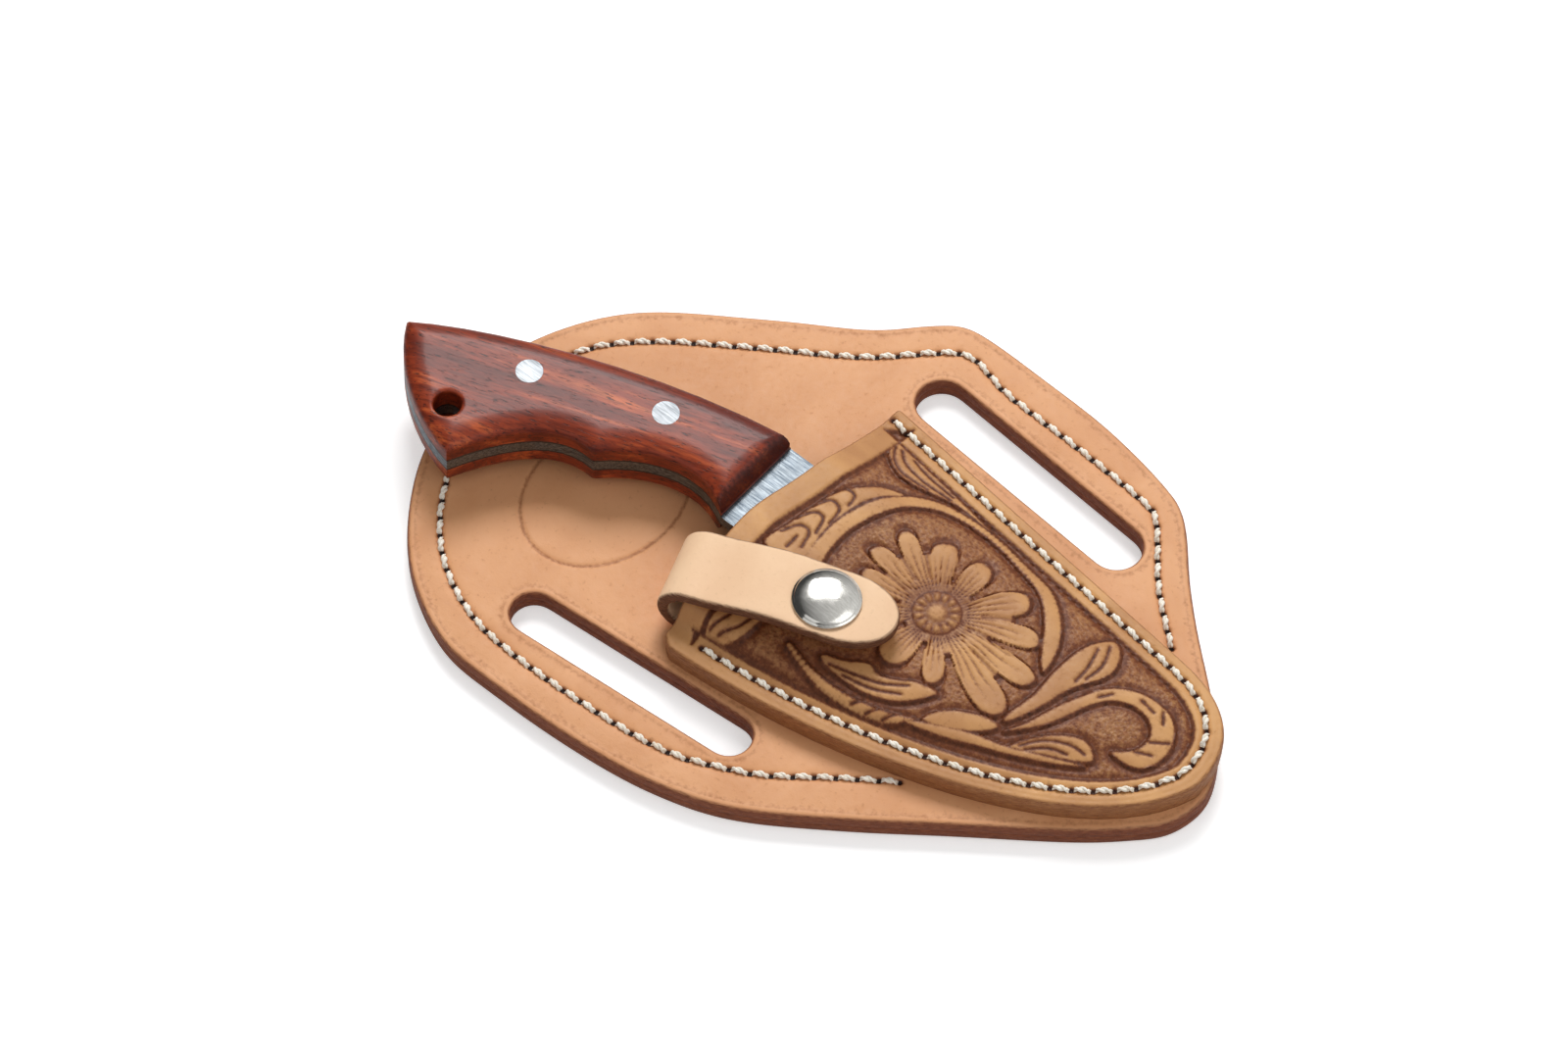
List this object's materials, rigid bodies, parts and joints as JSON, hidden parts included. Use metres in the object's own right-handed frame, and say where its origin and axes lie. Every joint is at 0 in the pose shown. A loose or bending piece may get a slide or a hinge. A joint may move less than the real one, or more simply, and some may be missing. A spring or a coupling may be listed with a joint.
{
  "type": "sheathed leather-cutting knife",
  "caption": "Short full-tang knife with a broad square-heeled blade, in a tooled leather belt sheath with a snap strap.",
  "frame": {"origin": "on the sheath's flat back, below the pocket's mouth and in line with the blade", "axes": "+X along the blade towards its tip, +Y towards the blade's back, +Z out of the sheath's front"},
  "size_m": [0.2125, 0.1447, 0.0257],
  "materials": {
    "backer_leather": "smooth natural vegetable-tanned, burnished edges",
    "pocket_leather": "carved and antiqued vegetable-tanned",
    "strap_leather": "plain natural vegetable-tanned",
    "thread": "twisted waxed",
    "blade_steel": "satin",
    "grip_wood": "oiled red hardwood, glossy",
    "liner": "black fibre",
    "pin_metal": "sanded",
    "snap_metal": "polished nickel",
    "spring_steel": "drawn wire"
  },
  "bodies": {
    "sheath": {"backer_face": "backer_leather", "backer_lining": "backer_leather", "backer_thread": "thread", "pocket_front": "pocket_leather", "pocket_welt": "pocket_leather", "pocket_thread": "thread", "strap_tail": "strap_leather", "snap_post": "snap_metal", "snap_stud": "snap_metal"},
    "knife": {"blade": "blade_steel", "front_scale": "grip_wood", "back_scale": "grip_wood", "front_liner": "liner", "back_liner": "liner", "front_pin": "pin_metal", "rear_pin": "pin_metal"},
    "strap": {"strap_flap": "strap_leather", "snap_cap": "snap_metal", "snap_socket": "snap_metal", "snap_spring": "spring_steel"}
  },
  "joints": [
    {"name": "knife_draw", "type": "slide", "parent": "sheath", "child": "knife", "axis": [-0.9986, 0, 0.0523], "range_m": [0, 0.135], "deforming": ["strap_tail"]},
    {"name": "strap_open", "type": "hinge", "parent": "sheath", "child": "strap", "pos_m": [-0.00025, -0.02808, 0.02126], "axis": [0.3305, -0.9438, 0], "range_deg": [0, 115], "deforming": ["snap_spring"]}
  ]
}
